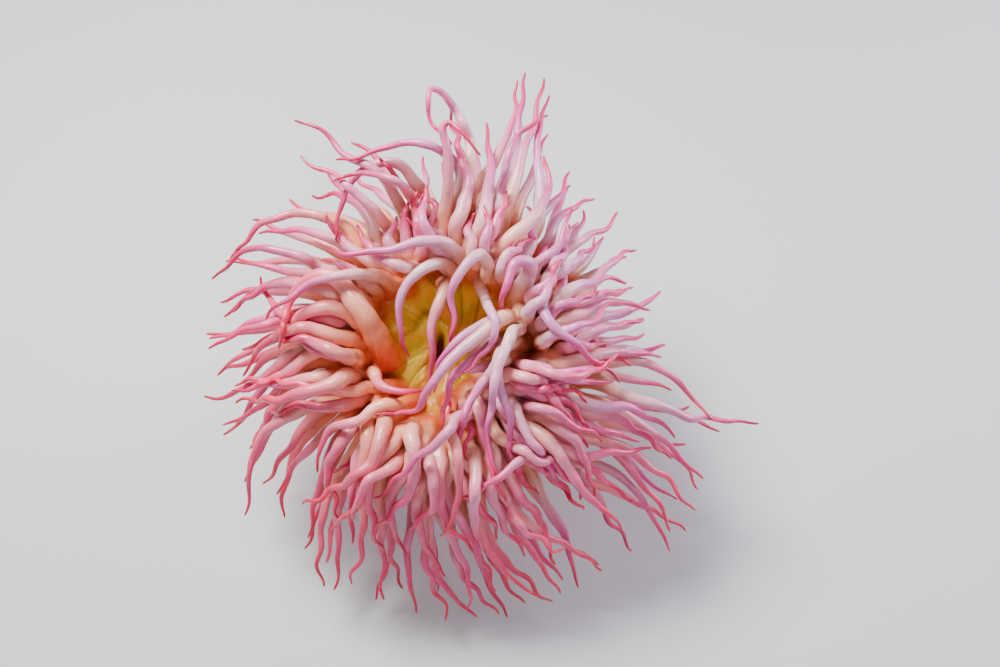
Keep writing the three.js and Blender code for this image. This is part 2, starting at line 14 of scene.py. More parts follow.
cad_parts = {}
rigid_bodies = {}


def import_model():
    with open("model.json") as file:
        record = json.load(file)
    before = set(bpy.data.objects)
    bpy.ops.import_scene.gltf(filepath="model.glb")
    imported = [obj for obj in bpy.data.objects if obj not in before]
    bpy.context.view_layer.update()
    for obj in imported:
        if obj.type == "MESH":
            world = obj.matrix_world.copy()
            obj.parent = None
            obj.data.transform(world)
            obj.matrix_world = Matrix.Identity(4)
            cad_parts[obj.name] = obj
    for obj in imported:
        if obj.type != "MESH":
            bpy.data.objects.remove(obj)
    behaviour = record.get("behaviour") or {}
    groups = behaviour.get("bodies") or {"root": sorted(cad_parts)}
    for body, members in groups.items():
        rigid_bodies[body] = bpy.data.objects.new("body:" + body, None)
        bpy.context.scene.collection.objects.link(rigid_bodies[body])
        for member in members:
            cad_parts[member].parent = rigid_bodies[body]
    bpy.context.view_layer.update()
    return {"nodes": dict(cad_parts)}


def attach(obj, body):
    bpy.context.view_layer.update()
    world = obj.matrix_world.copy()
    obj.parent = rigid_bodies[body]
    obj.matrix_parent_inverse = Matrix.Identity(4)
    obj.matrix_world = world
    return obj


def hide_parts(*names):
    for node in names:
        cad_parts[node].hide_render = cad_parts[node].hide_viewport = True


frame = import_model()

# ---- Driving sizes, in millimetres and degrees, as in the solids ----

MM = 0.001
GAP = 0.3

FOOT_RADIUS = 57
FOOT_RIM = 3
FOOT_TOP = 13
COLUMN_RADIUS = 43
COLUMN_WAIST = 40

CROWN_CENTRE = np.array([0.0, -25.0, 114.0])
CROWN_RISE = 56
DISC_AT = (-8, -4)
MARGIN_RADIUS = 66
MARGIN_UNDERSIDE = -32
BASIN_DEPTH = 9
BASIN_FLAT = 0.25  # share of the way out where its floor ends
RIDGE = 0.55  # and where the drop to the margin begins
MARGIN_DROP = 17
LOBES = 6
LOBE_TURN = 20
LOBE_SWELL = 0.05
LOBE_RISE = 2.5

MOUTH_AT = (-17, -8)
MOUTH_LENGTH = 34
MOUTH_TURN = 8
MOUTH_WIDTH = 9

ROOT_RADIUS = 5  # of the solid tentacles
TIP_RADIUS = 1
TAPER = 0.8
LINE_STEPS = 28
SPAN_STEPS = 8  # between the places of a way
FAN_STEPS = 40
FLOOR_CLEAR = 6
ROOT_CROWD = 3  # spare height over the disc's other roots
CROWD_FROM = 0.3  # share of the length from which it counts
ROOT_HELD = 0.12  # share of the length at any height
ANY_HEIGHT = -1000
TIP_DROOP = 16
SIDE_DROOP = 0.3  # so that tips at the sides droop too
SLOW_START = 1.2
EARLY_ARCH = 0.62
LAYER_ROUNDS = 90
LAYER_SPARE = 1.1
LAYER_FROM = 0.06  # share of the length where pushes begin
LAYER_OVER = 0.22  # and over which they become full
ROOT_STEPS = 3  # points of a line that may touch other roots

# How much the traits differ from one tentacle to the next.
VARIETY = {
    "reach": 0.12, "aim": 5, "tip_height": 12, "arch": 0.5, "bow": 0.2, "sway": 0.12,
    "filler_root": 0.8, "filler_aim": 26, "filler_distance": 6, "filler_bow": 0.36,
}
# A trait's place in this row settles its scatter, so the order stays.
TRAITS = (
    "reach", "aim", "tip_height", "arch", "bow", "sway", "crinkle", "phase", "wave", "knots",
    "tone", "late", "pale", "filler_root", "filler_aim", "filler_reach", "filler_distance",
    "filler_bow",
)
SCATTER = (53, 97, 13, 1009)

RINGS = {
    "second": {"radius": 46, "arch": 26, "tip": 4, "thick": 0.88},
    "third": {"radius": 56, "arch": 16, "tip": -9, "thick": 0.74},
    "outer": {"radius": 64, "arch": 7, "tip": -24, "thick": 0.7},
}

# Each ring's fans: how many, first and last bearing of the roots and of the tips, first and
# last distance of the tips, and the bow sideways.
FANS = {
    "second": [
        (3, (352, 24), (352, 20), (112, 104), 0.06),
        (4, (61, 100), (54, 97), (82, 104), -0.1),
        (4, (109, 140), (114, 144), (116, 134), -0.08),
        (4, (152, 186), (158, 184), (122, 132), 0.1),
        (4, (196, 226), (194, 214), (126, 120), 0.14),
        (3, (268, 292), (262, 275), (122, 128), 0.16),
    ],
    "third": [
        (4, (8, 30), (9, 19), (142, 136), 0.06),
        (6, (39, 93), (30, 87), (102, 98), -0.04),
        (3, (105, 121), (108, 120), (130, 146), -0.1),
        (3, (134, 150), (129, 140), (146, 146), -0.08),
        (4, (157, 177), (152, 167), (136, 146), 0.08),
        (4, (184, 204), (174, 192), (148, 146), 0.1),
        (4, (211, 231), (201, 218), (152, 142), 0.1),
        (4, (238, 259), (230, 248), (140, 134), 0.12),
        (4, (266, 288), (258, 275), (140, 132), 0.14),
        (4, (296, 330), (286, 322), (128, 112), 0.14),
    ],
    "outer": [
        (5, (350, 26), (344, 20), (98, 112), 0.04),
        (5, (34, 68), (24, 62), (104, 90), 0.06),
        (4, (76, 103), (72, 104), (92, 112), -0.06),
        (4, (110, 133), (108, 130), (130, 148), -0.08),
        (4, (140, 162), (134, 156), (149, 142), -0.04),
        (4, (169, 190), (161, 180), (143, 149), 0.06),
        (4, (197, 218), (186, 206), (148, 153), 0.06),
        (4, (225, 248), (211, 236), (149, 144), 0.08),
        (5, (255, 281), (241, 268), (134, 138), 0.1),
        (6, (288, 338), (276, 330), (136, 122), 0.08),
    ],
}

# Each single tentacle's way: bearing and distance of its root, then bearing, distance and
# height of each place that it goes through.
SOLO = {
    "hook": [(353, 52), (0, 84, 20), (357, 114, 22), (351, 125, 28), (350, 109, 33), (354, 96, 31)],
    "crook": [(333, 41), (353, 84, 30), (352, 111, 30), (358, 99, 37), (4, 89, 35)],
    "sweep": [(337, 56), (339, 90, 20), (328, 99, 22), (316, 93, 24), (305, 82, 16)],
    "bough": [(301, 50), (310, 88, 20), (303, 112, 18), (293, 125, 12), (286, 130, 2)],
    "traverse": [(6, 30), (344, 48, 36), (318, 57, 40), (303, 73, 38), (302, 91, 30)],
    "swan": [(255, 45), (280, 54, 26), (293, 72, 30), (285, 90, 24), (266, 97, 12)],
    "left_long": [(276, 44), (275, 78, 20), (273, 106, 16), (267, 136, 6)],
    "left_over": [(307, 40), (298, 64, 36), (286, 86, 36), (274, 102, 28)],
    "stray": [(249, 55), (243, 52, 26), (230, 44, 32), (218, 34, 26)],
    "low_left": [(239, 55), (246, 92, 20), (243, 122, 14), (231, 150, 0)],
    "low_bend": [(234, 45), (246, 68, 28), (254, 90, 24), (258, 112, 12)],
    "low_curl": [(220, 44), (232, 68, 34), (236, 86, 28), (228, 105, 16)],
    "front_hang": [(28, 28), (8, 40, 34), (346, 28, 42), (290, 9, 36), (225, 9, 28)],
    "disc_left": [(350, 32), (332, 40, 34), (300, 39, 36), (268, 34, 28), (249, 33, 20)],
    "disc_middle": [(336, 35), (328, 26, 28), (285, 19, 32), (240, 22, 26), (214, 37, 16)],
    "thumb": [(54, 27), (43, 44, 28), (32, 42, 40), (40, 27, 42), (62, 17, 34)],
    "over_right": [(47, 37), (70, 38, 40), (92, 48, 44), (107, 79, 28)],
    "cross": [(78, 27), (64, 18, 34), (215, 14, 46), (217, 34, 44), (216, 47, 34), (231, 61, 22)],
    "plumb": [(98, 28), (112, 18, 38), (148, 28, 48), (156, 50, 42), (163, 72, 26)],
    "mouth_side": [(118, 30), (150, 18, 28), (202, 21, 32), (195, 44, 18)],
    "slant": [(138, 32), (148, 44, 36), (150, 62, 36), (148, 96, 18)],
    "cross_long": [(160, 36), (186, 42, 44), (200, 60, 48), (210, 94, 30)],
    "cross_low": [(136, 53), (152, 64, 34), (168, 71, 42), (184, 83, 32)],
    "right_long": [(105, 49), (111, 88, 20), (110, 124, 10), (107, 157, -4)],
}
SOLO_THICK = 0.72
THICK = {"swan": 1.25, "thumb": 0.95, "cross": 0.8, "plumb": 0.75}

# ---- Sizes of the skin alone -----------------------------

# Rows of fillers: how many, first and last bearing and distance of the roots, thickness,
# reach as shares of the outline, arch, and height of the tips.
FILLERS = [
    (26, 98, 262, 51, 0.92, (0.62, 0.86), 30, 12),
    (12, 265, 345, 51, 0.86, (0.6, 0.9), 24, 10),
    (10, 20, 92, 51, 0.8, (0.6, 0.85), 26, 10),
    (10, 330, 385, 44, 0.8, (0.5, 0.75), 34, 22),
    (12, 35, 160, 41, 0.74, (0.5, 0.8), 36, 24),
    (8, 112, 190, 28, 0.78, (0.42, 0.7), 34, 22),
]
FILLER_TURN = 6
OUTLINE_MEAN = 126
OUTLINE_SWING = 26
OUTLINE_NEAR = 40  # where the tips reach least

# Ways of the tentacles that the solids don't have, as in SOLO.
STRAYS = [
    [(352, 52), (356, 88, 34), (341, 100, 34), (330, 104, 30), (322, 110, 26)],
    [(300, 48), (295, 78, 22), (294, 104, 22), (291, 121, 16), (282, 137, 4)],
    [(333, 56), (331, 89, 26), (326, 108, 24), (324, 126, 20), (321, 141, 22)],
    [(321, 53), (322, 84, 26), (319, 109, 20), (316, 126, 14)],
    [(342, 52), (336, 80, 34), (327, 96, 30), (318, 104, 24)],
    [(14, 50), (12, 80, 30), (14, 104, 28), (20, 118, 22)],
    [(59, 36), (78, 22, 38), (150, 26, 44), (170, 52, 36), (168, 76, 26)],
    [(4, 34), (20, 22, 34), (95, 12, 40), (190, 20, 34)],
    [(70, 30), (60, 14, 36), (240, 12, 40), (212, 34, 34)],
    [(92, 26), (120, 10, 34), (200, 26, 40), (196, 52, 28)],
    [(110, 24), (150, 22, 36), (184, 38, 40), (186, 66, 26)],
]
STRAY_THICK = 0.7

SKIN_ROOT = 6.3
SKIN_TIP = 0.55
SKIN_TAPER = 0.95
TUBE_SIDES = 16
RING_EVERY = 1.5
ROOT_SUNK = 9  # of a tentacle's skin below the disc
ROOT_FLARE = 0.16
FLARE_RUN = 5
LEAN_FROM = (35, 58)  # distances out between which sunk roots come to lean in
KNOTS = 0.035
KNOT_LEAST = 0.4
KNOT_RUNS = (2.1, 3.3)
KNOT_PHASE = 6
END_RUN = 1.6  # of the rounded end, in radii of a solid tip
END_LEAST = 0.05  # share of the radius that the last ring keeps

TURN = 6.28  # one turn in radians, near enough for waves
CRINKLE = 1.35  # of the tips
CRINKLE_LEAST = 0.3
CRINKLE_FROM = 0.4  # share of the length
WAVE_LENGTH = 16
WAVE_VARIETY = 10
WAVE_RATIO = 1.37  # of the wave lengths in the two directions
SLOW_WAVE = 0.7  # of the whole shaft
SLOW_LENGTHS = (41, 47)
SIDE_GUIDE = (0.3, 0.2, 1.0)

EASE_ROUNDS = 300
EASE_BEND = 1.35  # least bend of a middle line, in radii of its tentacle
EASE_GAIN = 2
EASE_STEP = 0.5
EASE_SPREAD = 4  # points each side of a sharp bend
LEAST_TURN = 1e-6

PART_ROUNDS = 20
PART_REACH = 10
PART_ROOM = 0.7  # between the skins of neighbours
PART_FREE = (0.1, 0.35)  # shares of the length where pushes begin and are full
PART_LIFT = 0.5  # of a push, along FACE
PART_STEP = 0.5
PART_BLUR = 3
LEAST_APART = 0.01

BODY_SIDES = 288
DISC_RINGS = 72
RIM_RINGS = 10
UNDERSIDE_RINGS = 12
COLUMN_RINGS = 70
FOOT_RINGS = 14
DISC_START = 0.012  # share of the way out of the innermost ring
RIM_BULGE = 1.8
RIM_INSET = 1.3
RIM_BOTTOM = -23
UNDERSIDE_EDGE = 0.98
UNDERSIDE_CURVE = 0.6
COLLAR = 1  # round the top of the column
COLUMN_BEND = 0.5
FOOT_CURVE = 1.3
FOOT_ROLL = (0.4, 1.2)  # out past the foot's radius, and up
FOOT_MIDWAY = 0.6
FOOT_MIDDLE = 2
FOOT_WAVE = 0.03
FOOT_WAVES = 5

SEAMS = 5
SEAM_WANDER = 1.6
SEAM_WIDTH = 0.22
SEAM_DEPTH = 1.8
SEAM_RISE = (0.1, 0.2)  # shares of the way out where the seams begin
SEAM_FALL = (0.58, 0.76)  # and where they end
FOLD_HEIGHTS = (3.0, 1.3)
FOLD_RISE = (0.12, 0.3)
FOLD_FALL = (0.62, 0.8)
CREASE_HEIGHT = 0.3
CREASES = 40
CREASE_RISE = (0.2, 0.45)
MOUTH_DEPTH = 6
MOUTH_EDGE = (0.15, 0.8)  # where the mouth's outline is 1
LIP_HEIGHT = 3.2
LIP_RING = 1.35  # of the lip's crest
LIP_WIDTH = 0.45
WRINKLE_HEIGHTS = (0.22, 0.12)  # up the column
WRINKLE_RINGS = 0.4  # and round it

JOINT_RINGS = 3  # of edges, smoothed round a joint
JOINT_ROUNDS = 8
BLEND_RINGS = 8  # the same for the colours
BLEND_ROUNDS = 20

# The UV map: the body's cell (left, bottom, width, height), and the columns and rows of the
# tentacles' cells above it.
BODY_CELL = (0.0, 0.0, 1.0, 0.34)
TENTACLE_CELLS = (7, 33)
CELL_MARGIN = 0.002

# ---- Colours: a share of the way out or along, and its sRGB colour ----

# The first stops of both ramps, at the roots, are darker orange: partly the flesh's own colour, partly
# painted shade where the roots crowd together.
WARM = [
    (0.0, (200, 62, 26)), (0.07, (226, 98, 48)), (0.18, (240, 142, 90)), (0.32, (242, 160, 136)),
    (0.46, (238, 128, 140)), (0.64, (234, 84, 126)), (0.84, (226, 34, 88)), (1.0, (194, 8, 52)),
]
# The pale ramp's lavender-white middle is partly the paler tone of these tentacles, partly a painted
# lavender highlight.
PALE_AND_HIGHLIGHT = [
    (0.0, (196, 74, 34)), (0.08, (220, 128, 78)), (0.2, (232, 186, 156)), (0.36, (228, 194, 200)),
    (0.54, (220, 156, 208)), (0.7, (220, 98, 178)), (0.86, (218, 42, 128)), (1.0, (190, 12, 74)),
]
DISC = [
    (0.0, (240, 204, 20)), (0.25, (246, 232, 34)), (0.5, (246, 216, 32)), (0.68, (236, 124, 40)),
    (0.8, (196, 80, 44)), (1.0, (150, 34, 34)),
]
CRIMSON = (142, 20, 34)
CRIMSON_FROM = 0.44  # share of the body's rings where it begins, on the rim
CRIMSON_OVER = 0.06  # and over which it comes fully
LIP = (232, 160, 66)
LIP_BLUR = 0.5
LIP_STRENGTH = 0.8
# Painted shade on the disc: olive in radial streaks over its inner part, and along the seams' grooves.
OLIVE_SHADE = (150, 118, 30)
SHADE_STREAKS = 9
SHADE_STREAK = 0.14
SHADE_STREAK_REACH = 0.6  # share of the way out
SEAM_SHADE = 0.6
MOUTH = (110, 20, 32)
MOUTH_BLUR = (0.3, 0.8)
STAIN = (172, 40, 58)
STAIN_AT = (10.4, -14)  # a crimson patch, across and up the crown
STAIN_RADIUS = 9
STAIN_STRENGTH = 0.85
PALE_AND_HIGHLIGHT_SIDE = 50  # bearing where the tentacles are palest, partly a paler tone and partly a painted highlight on that side
PALE_PLACE = 0.75  # of the paleness, from where a tentacle stands
PALE_CHANCE = 0.5  # and from one tentacle to the next
PALE_START = 0.2
LATE = (0.85, 0.4)  # least, and how much it varies
TONE = (0.88, 0.24)  # the same

# ---- Camera ----------------------------------------------

PHOTO_SCALE = 0.52  # millimetres of the crown in one pixel
PHOTO_WIDTH = 1000
CROWN_PIXEL = (471, 335)
PHOTO_MIDDLE = (500, 333.5)
LENS = 50
SENSOR = 36

RISE = math.radians(CROWN_RISE)
FACE = np.array([0.0, -math.cos(RISE), math.sin(RISE)])
UPRIGHT = np.array([0.0, math.sin(RISE), math.cos(RISE)])
ACROSS = np.array([1.0, 0.0, 0.0])


def to_world(points):
    """Crown places (across, up, height) in millimetres to the object's frame in millimetres."""
    points = np.asarray(points, dtype=float)
    across, up, height = points[..., :1], points[..., 1:2], points[..., 2:3]
    return CROWN_CENTRE + across * ACROSS + up * UPRIGHT + height * FACE


def add_camera():
    distance = PHOTO_SCALE * PHOTO_WIDTH * LENS / SENSOR
    across = (PHOTO_MIDDLE[0] - CROWN_PIXEL[0]) * PHOTO_SCALE
    up = (CROWN_PIXEL[1] - PHOTO_MIDDLE[1]) * PHOTO_SCALE
    data = bpy.data.cameras.new("camera")
    data.lens = LENS
    data.sensor_width = SENSOR
    camera = bpy.data.objects.new("camera", data)
    bpy.context.collection.objects.link(camera)
    turn = Matrix((ACROSS, UPRIGHT, FACE)).transposed().to_4x4()
    camera.matrix_world = Matrix.Translation(Vector(to_world([across, up, distance]) * MM)) @ turn
    bpy.context.scene.camera = camera


# ---- Crown surface ---------------------------------------


def polar(bearing, distance, middle=(0, 0)):
    angle = math.radians(bearing)
    return [middle[0] + distance * math.sin(angle), middle[1] + distance * math.cos(angle)]


def smoothstep(low, high, x):
    t = np.clip((x - low) / (high - low), 0, 1)
    return t * t * (3 - 2 * t)


def lobe(bearing):
    return np.cos(np.radians(LOBES * (bearing - LOBE_TURN)))


def margin_radius(bearing):
    return MARGIN_RADIUS * (1 + LOBE_SWELL * lobe(bearing))


def surface_level(share, bearing):
    basin = BASIN_DEPTH * (1 - smoothstep(BASIN_FLAT, RIDGE, share))
    over = np.maximum(0, share - RIDGE) / (1 - RIDGE)
    return LOBE_RISE * lobe(bearing) * share * share - basin - MARGIN_DROP * over * over


def surface_under(across, up):
    dx = across - DISC_AT[0]
    dy = up - DISC_AT[1]
    bearing = np.degrees(np.arctan2(dx, dy))
    return np.hypot(dx, dy) / margin_radius(bearing), bearing


# ---- Middle lines of the tentacles -----------------------


def scatter(number, trait):
    """A value from 0 to 1 for one trait of one tentacle, the same every time."""
    number_step, trait_step, start, prime = SCATTER
    mixed = number * number_step + (TRAITS.index(trait) + 1) * trait_step + start
    return (mixed * mixed % prime) / prime


def vary(number, trait):
    return VARIETY[trait] * (scatter(number, trait) - 0.5)


def resample(points, steps):
    points = np.asarray(points, dtype=float)
    run = np.concatenate([[0], np.cumsum(np.linalg.norm(np.diff(points, axis=0), axis=1))])
    at = np.linspace(0, run[-1], steps + 1)
    return np.stack([np.interp(at, run, points[:, axis]) for axis in range(3)], axis=1)


def spline(a, b, c, d, t):
    cubic = 3 * b - a - 3 * c + d
    square = 2 * a - 5 * b + 4 * c - d
    return 0.5 * (2 * b + (c - a) * t + square * t * t + cubic * t * t * t)


def through(places):
    places = np.asarray(places, dtype=float)
    points = []
    last = len(places) - 1
    for i in range(last):
        a, b, c, d = (places[k] for k in (max(0, i - 1), i, i + 1, min(last, i + 2)))
        points += [spline(a, b, c, d, k / SPAN_STEPS) for k in range(SPAN_STEPS)]
    points.append(places[last])
    return np.array(points)


def on_surface(across, up):
    share, bearing = surface_under(across, up)
    return [across, up, float(surface_level(share, bearing)) + GAP]


def solo_line(way):
    places = [on_surface(*polar(*way[0]))]
    places += [[*polar(bearing, distance), height] for bearing, distance, height in way[1:]]
    return through(places)


def between(ends, part):
    turn = ends[1] - ends[0]
    if abs(turn) > 180:
        turn -= 360 * np.sign(turn)
    return ends[0] + turn * part


def fan_line(ring, root_bearing, tip_bearing, distance, bow, number):
    root = on_surface(*polar(root_bearing, ring["radius"], DISC_AT))
    reach = distance * (1 + vary(number, "reach"))
    tip = polar(tip_bearing + vary(number, "aim"), reach)
    droop = TIP_DROOP * max(0, math.cos(math.radians(tip_bearing)) + SIDE_DROOP)
    tip_height = ring["tip"] - droop + vary(number, "tip_height")
    arch = ring["arch"] * (1 + vary(number, "arch"))
    sideways = bow + vary(number, "bow")
    sway = vary(number, "sway")
    chord = (tip[0] - root[0], tip[1] - root[1])
    t = np.arange(FAN_STEPS + 1) / FAN_STEPS
    travel = t ** SLOW_START
    shift = sideways * np.sin(np.pi * t) + sway * np.sin(2 * np.pi * t)
    return np.stack([
        root[0] + chord[0] * travel + chord[1] * shift,
        root[1] + chord[1] * travel - chord[0] * shift,
        root[2] + (tip_height - root[2]) * t + arch * np.sin(np.pi * t ** EARLY_ARCH),
    ], axis=1)


def filler_line(row, i, number):
    count, first, last, distance, _, shares, arch, tip = row
    root = first + (last - first) * (i + vary(number, "filler_root")) / (count - 1)
    aim = root - FILLER_TURN + vary(number, "filler_aim")
    share = shares[0] + (shares[1] - shares[0]) * scatter(number, "filler_reach")
    ring = {"radius": distance + vary(number, "filler_distance"), "arch": arch, "tip": tip}
    return fan_line(ring, root, aim, share * outline(aim), vary(number, "filler_bow"), number)


def outline(bearing):
    return OUTLINE_MEAN - OUTLINE_SWING * math.cos(math.radians(bearing - OUTLINE_NEAR))


def thickness(thick, t):
    return TIP_RADIUS + (ROOT_RADIUS * thick - TIP_RADIUS) * (1 - t) ** TAPER


def add_tentacle(tentacles, thick, line):
    number = len(tentacles)
    tentacles.append({"number": number, "thick": thick, "line": resample(line, LINE_STEPS)})


def add_fan(tentacles, ring, count, roots, tips, distances, bow):
    for i in range(count):
        part = i / (count - 1)
        distance = distances[0] + (distances[1] - distances[0]) * part
        ends = between(roots, part), between(tips, part)
        line = fan_line(ring, *ends, distance, bow, len(tentacles))
        add_tentacle(tentacles, ring["thick"], line)


def all_tentacles():
    """The solids' tentacles, and then the strays and fillers, which find their way over them."""
    tentacles = []
    for name, way in SOLO.items():
        add_tentacle(tentacles, THICK.get(name, SOLO_THICK), solo_line(way))
    for name, fans in FANS.items():
        for fan in fans:
            add_fan(tentacles, RINGS[name], *fan)
    layer(tentacles, 0)
    solids = len(tentacles)
    for way in STRAYS:
        add_tentacle(tentacles, STRAY_THICK, solo_line(way))
    for row in FILLERS:
        for i in range(row[0]):
            add_tentacle(tentacles, row[4], filler_line(row, i, len(tentacles)))
    layer(tentacles, solids)
    return tentacles


def lowest_height(lines, thick):
    """How low each point may lie: clear of the floor, and of the disc that it crosses."""
    t = np.arange(LINE_STEPS + 1) / LINE_STEPS
    floor = (FLOOR_CLEAR - CROWN_CENTRE[2] - lines[:, :, 1] * UPRIGHT[2]) / FACE[2]
    share, bearing = surface_under(lines[:, :, 0], lines[:, :, 1])
    over = surface_level(share, bearing) + thickness(thick[:, None], t)
    over = over + np.where(t > CROWD_FROM, ROOT_CROWD, 0)
    low = np.where(share > 1, floor, np.maximum(floor, over))
    return np.where(t < ROOT_HELD, ANY_HEIGHT, low)


def crossings(lines, thick):
    """Pairs of points that lie over one another, the height they need between them, and 1 where
    the first one's tentacle is the nearer or -1 where it is not."""
    count, row = lines.shape[:2]
    t = np.arange(row) / LINE_STEPS
    radius = thickness(thick[:, None], t).ravel()
    x = lines[:, :, 0].ravel()
    y = lines[:, :, 1].ravel()
    owner = np.repeat(np.arange(count), row)
    near_root = np.tile(np.arange(row) < ROOT_STEPS, count)
    found = []
    for a in range(len(x) - 1):
        b = slice(a + 1, None)
        room = radius[a] + radius[b] + LAYER_SPARE
        square = room * room - (x[a] - x[b]) ** 2 - (y[a] - y[b]) ** 2
        keep = (square > 0) & (owner[b] != owner[a])
        if near_root[a]:
            keep &= ~near_root[b]
        hits = np.nonzero(keep)[0]
        found.append(np.stack([np.full(len(hits), a), hits + a + 1, np.sqrt(square[hits])], axis=1))
    found = np.concatenate(found)
    a = found[:, 0].astype(int)
    b = found[:, 1].astype(int)
    height = lines[:, :, 2].ravel()
    key = owner[a] * count + owner[b]
    lead = np.bincount(key, weights=height[a] - height[b], minlength=count * count)
    return a, b, found[:, 2], np.where(lead[key] >= 0, 1.0, -1.0)


def layer(tentacles, settled):
    """Moves tentacles that cross apart in height, except the first settled ones."""
    lines = np.stack([one["line"] for one in tentacles])
    thick = np.array([one["thick"] for one in tentacles], dtype=float)
    a, b, apart, sign = crossings(lines, thick)
    lowest = lowest_height(lines, thick)
    height = lines[:, :, 2].copy()
    t = np.arange(LINE_STEPS + 1) / LINE_STEPS
    unsettled = (np.arange(len(tentacles)) >= settled)[:, None]
    freedom = np.clip((t - LAYER_FROM) / LAYER_OVER, 0, 1) * unsettled
    size = height.size
    for _ in range(LAYER_ROUNDS):
        flat = height.ravel()
        short = apart - sign * (flat[a] - flat[b])
        on = short > 0
        half = (sign * short / 2)[on]
        push = np.bincount(a[on], half, size) - np.bincount(b[on], half, size)
        hits = np.bincount(a[on], minlength=size) + np.bincount(b[on], minlength=size)
        step = (push / np.maximum(1, hits)).reshape(height.shape) * freedom
        padded = np.concatenate([step[:, :1], step, step[:, -1:]], axis=1)
        step = (padded[:, :-2] + 2 * step + padded[:, 2:]) / 4
        height = np.where(freedom > 0, np.maximum(height + step, lowest), height + step)
    for one, row in zip(tentacles, height):
        one["line"][:, 2] = row


# ---- Meshes ----------------------------------------------


def grid_faces(rows, sides):
    """Triangles of a tube of rings, wound outwards for rings that run anticlockwise."""
    i = np.arange(rows - 1)[:, None] * sides
    j = np.arange(sides)[None, :]
    k = (j + 1) % sides
    a, b, c, d = i + j, i + k, i + sides + k, i + sides + j
    first = np.stack([a, b, c], axis=-1).reshape(-1, 3)
    second = np.stack([a, c, d], axis=-1).reshape(-1, 3)
    return np.concatenate([first, second])


def grid_uvs(rows, sides, cell, along):
    """UV corners of the same triangles, in a cell (left, bottom, width, height)."""
    left, bottom, width, height = cell
    u = left + width * along
    v = bottom + height * np.arange(sides + 1) / sides
    j = np.arange(sides)[None, :]
    i = np.arange(rows - 1)[:, None]
    this, next_ring, low, high = np.broadcast_arrays(u[i], u[i + 1], v[j], v[j + 1])
    corners = ((this, low), (this, high), (next_ring, high), (next_ring, low))
    a, b, c, d = (np.stack(corner, axis=-1) for corner in corners)
    first = np.stack([a, b, c], axis=2).reshape(-1, 3, 2)
    second = np.stack([a, c, d], axis=2).reshape(-1, 3, 2)
    return np.concatenate([first, second])


def make_object(name, collection, points, faces, uvs):
    """A mesh object whose triangles all face outwards."""
    if signed_volume(points, faces) < 0:
        faces, uvs = faces[:, ::-1], uvs[:, ::-1]
    mesh = bpy.data.meshes.new(name)
    mesh.vertices.add(len(points))
    mesh.vertices.foreach_set("co", np.asarray(points, dtype=np.float32).ravel())
    mesh.loops.add(faces.size)
    mesh.loops.foreach_set("vertex_index", faces.astype(np.int32).ravel())
    mesh.polygons.add(len(faces))
    mesh.polygons.foreach_set("loop_start", np.arange(0, faces.size, 3, dtype=np.int32))
    mesh.update(calc_edges=True)
    layer_uv = mesh.uv_layers.new(name="OFBake")
    layer_uv.uv.foreach_set("vector", uvs.astype(np.float32).ravel())
    thing = bpy.data.objects.new(name, mesh)
    collection.objects.link(thing)
    return thing


def smooth_line(line, count):
    """A spline through the line's even points, at count + 1 places."""
    at = np.linspace(0, len(line) - 1, count + 1)
    i = np.minimum(at.astype(int), len(line) - 2)
    part = (at - i)[:, None]
    ends = np.concatenate([2 * line[:1] - line[1:2], line, 2 * line[-1:] - line[-2:-1]])
    return spline(ends[i], ends[i + 1], ends[i + 2], ends[i + 3], part)


def frames_along(line):
    """Unit tangents and two normals that turn no more than the line does."""
    tangent = np.gradient(line, axis=0)
    tangent /= np.linalg.norm(tangent, axis=1, keepdims=True)
    side = np.cross(tangent[0], SIDE_GUIDE)
    sides = []
    for along in tangent:
        side = side - along * np.dot(side, along)
        side /= np.linalg.norm(side)
        sides.append(side)
    sides = np.array(sides)
    return tangent, sides, np.cross(tangent, sides)


def crinkled(line, number, length):
    """The line with the slow waves of its shaft and the tighter ones of its tip."""
    _, side, other = frames_along(line)
    t = np.linspace(0, 1, len(line))[:, None]
    run = t * length
    grow = smoothstep(CRINKLE_FROM, 1.0, t) * CRINKLE * (CRINKLE_LEAST + scatter(number, "crinkle"))
    slow = SLOW_WAVE * np.sin(np.pi * t)
    phase = TURN * scatter(number, "phase")
    wave = WAVE_LENGTH + WAVE_VARIETY * scatter(number, "wave")
    tight = grow * np.sin(TURN * run / wave + phase)
    tight_other = grow * np.sin(TURN * run / (wave * WAVE_RATIO) + 2 * phase)
    a = tight + slow * np.sin(TURN * run / SLOW_LENGTHS[0] + phase)
    b = tight_other + slow * np.cos(TURN * run / SLOW_LENGTHS[1] + phase)
    return line + side * a + other * b


def eased(line, radius):
    """The line with its sharp bends opened until the skin no longer folds into itself."""
    line = line.copy()
    for _ in range(EASE_ROUNDS):
        step = np.diff(line, axis=0)
        size = np.linalg.norm(step, axis=1)
        along = step / size[:, None]
        turn = np.arccos(np.clip((along[1:] * along[:-1]).sum(axis=1), -1, 1))
        bend = 0.5 * (size[1:] + size[:-1]) / np.maximum(turn, LEAST_TURN)
        tight = np.clip(EASE_GAIN * (EASE_BEND - bend / radius[1:-1]), 0, 1)
        if tight.max() == 0:
            break
        window = np.ones(2 * EASE_SPREAD + 1)
        tight = np.convolve(np.pad(tight, EASE_SPREAD), window, "same")[EASE_SPREAD:-EASE_SPREAD]
        weight = EASE_STEP * np.minimum(1, tight)[:, None]
        line[1:-1] += weight * (0.5 * (line[:-2] + line[2:]) - line[1:-1])
    return line


def outward_share(root):
    """The way out from the middle of the disc: nothing at first, and as long as FACE at the rim.
    A root that goes down against it stays inside the crown."""
    flat = root - to_world([*DISC_AT, 0])
    flat = flat - FACE * (flat @ FACE)
    distance = np.linalg.norm(flat)
    return flat / distance * smoothstep(*LEAN_FROM, distance)


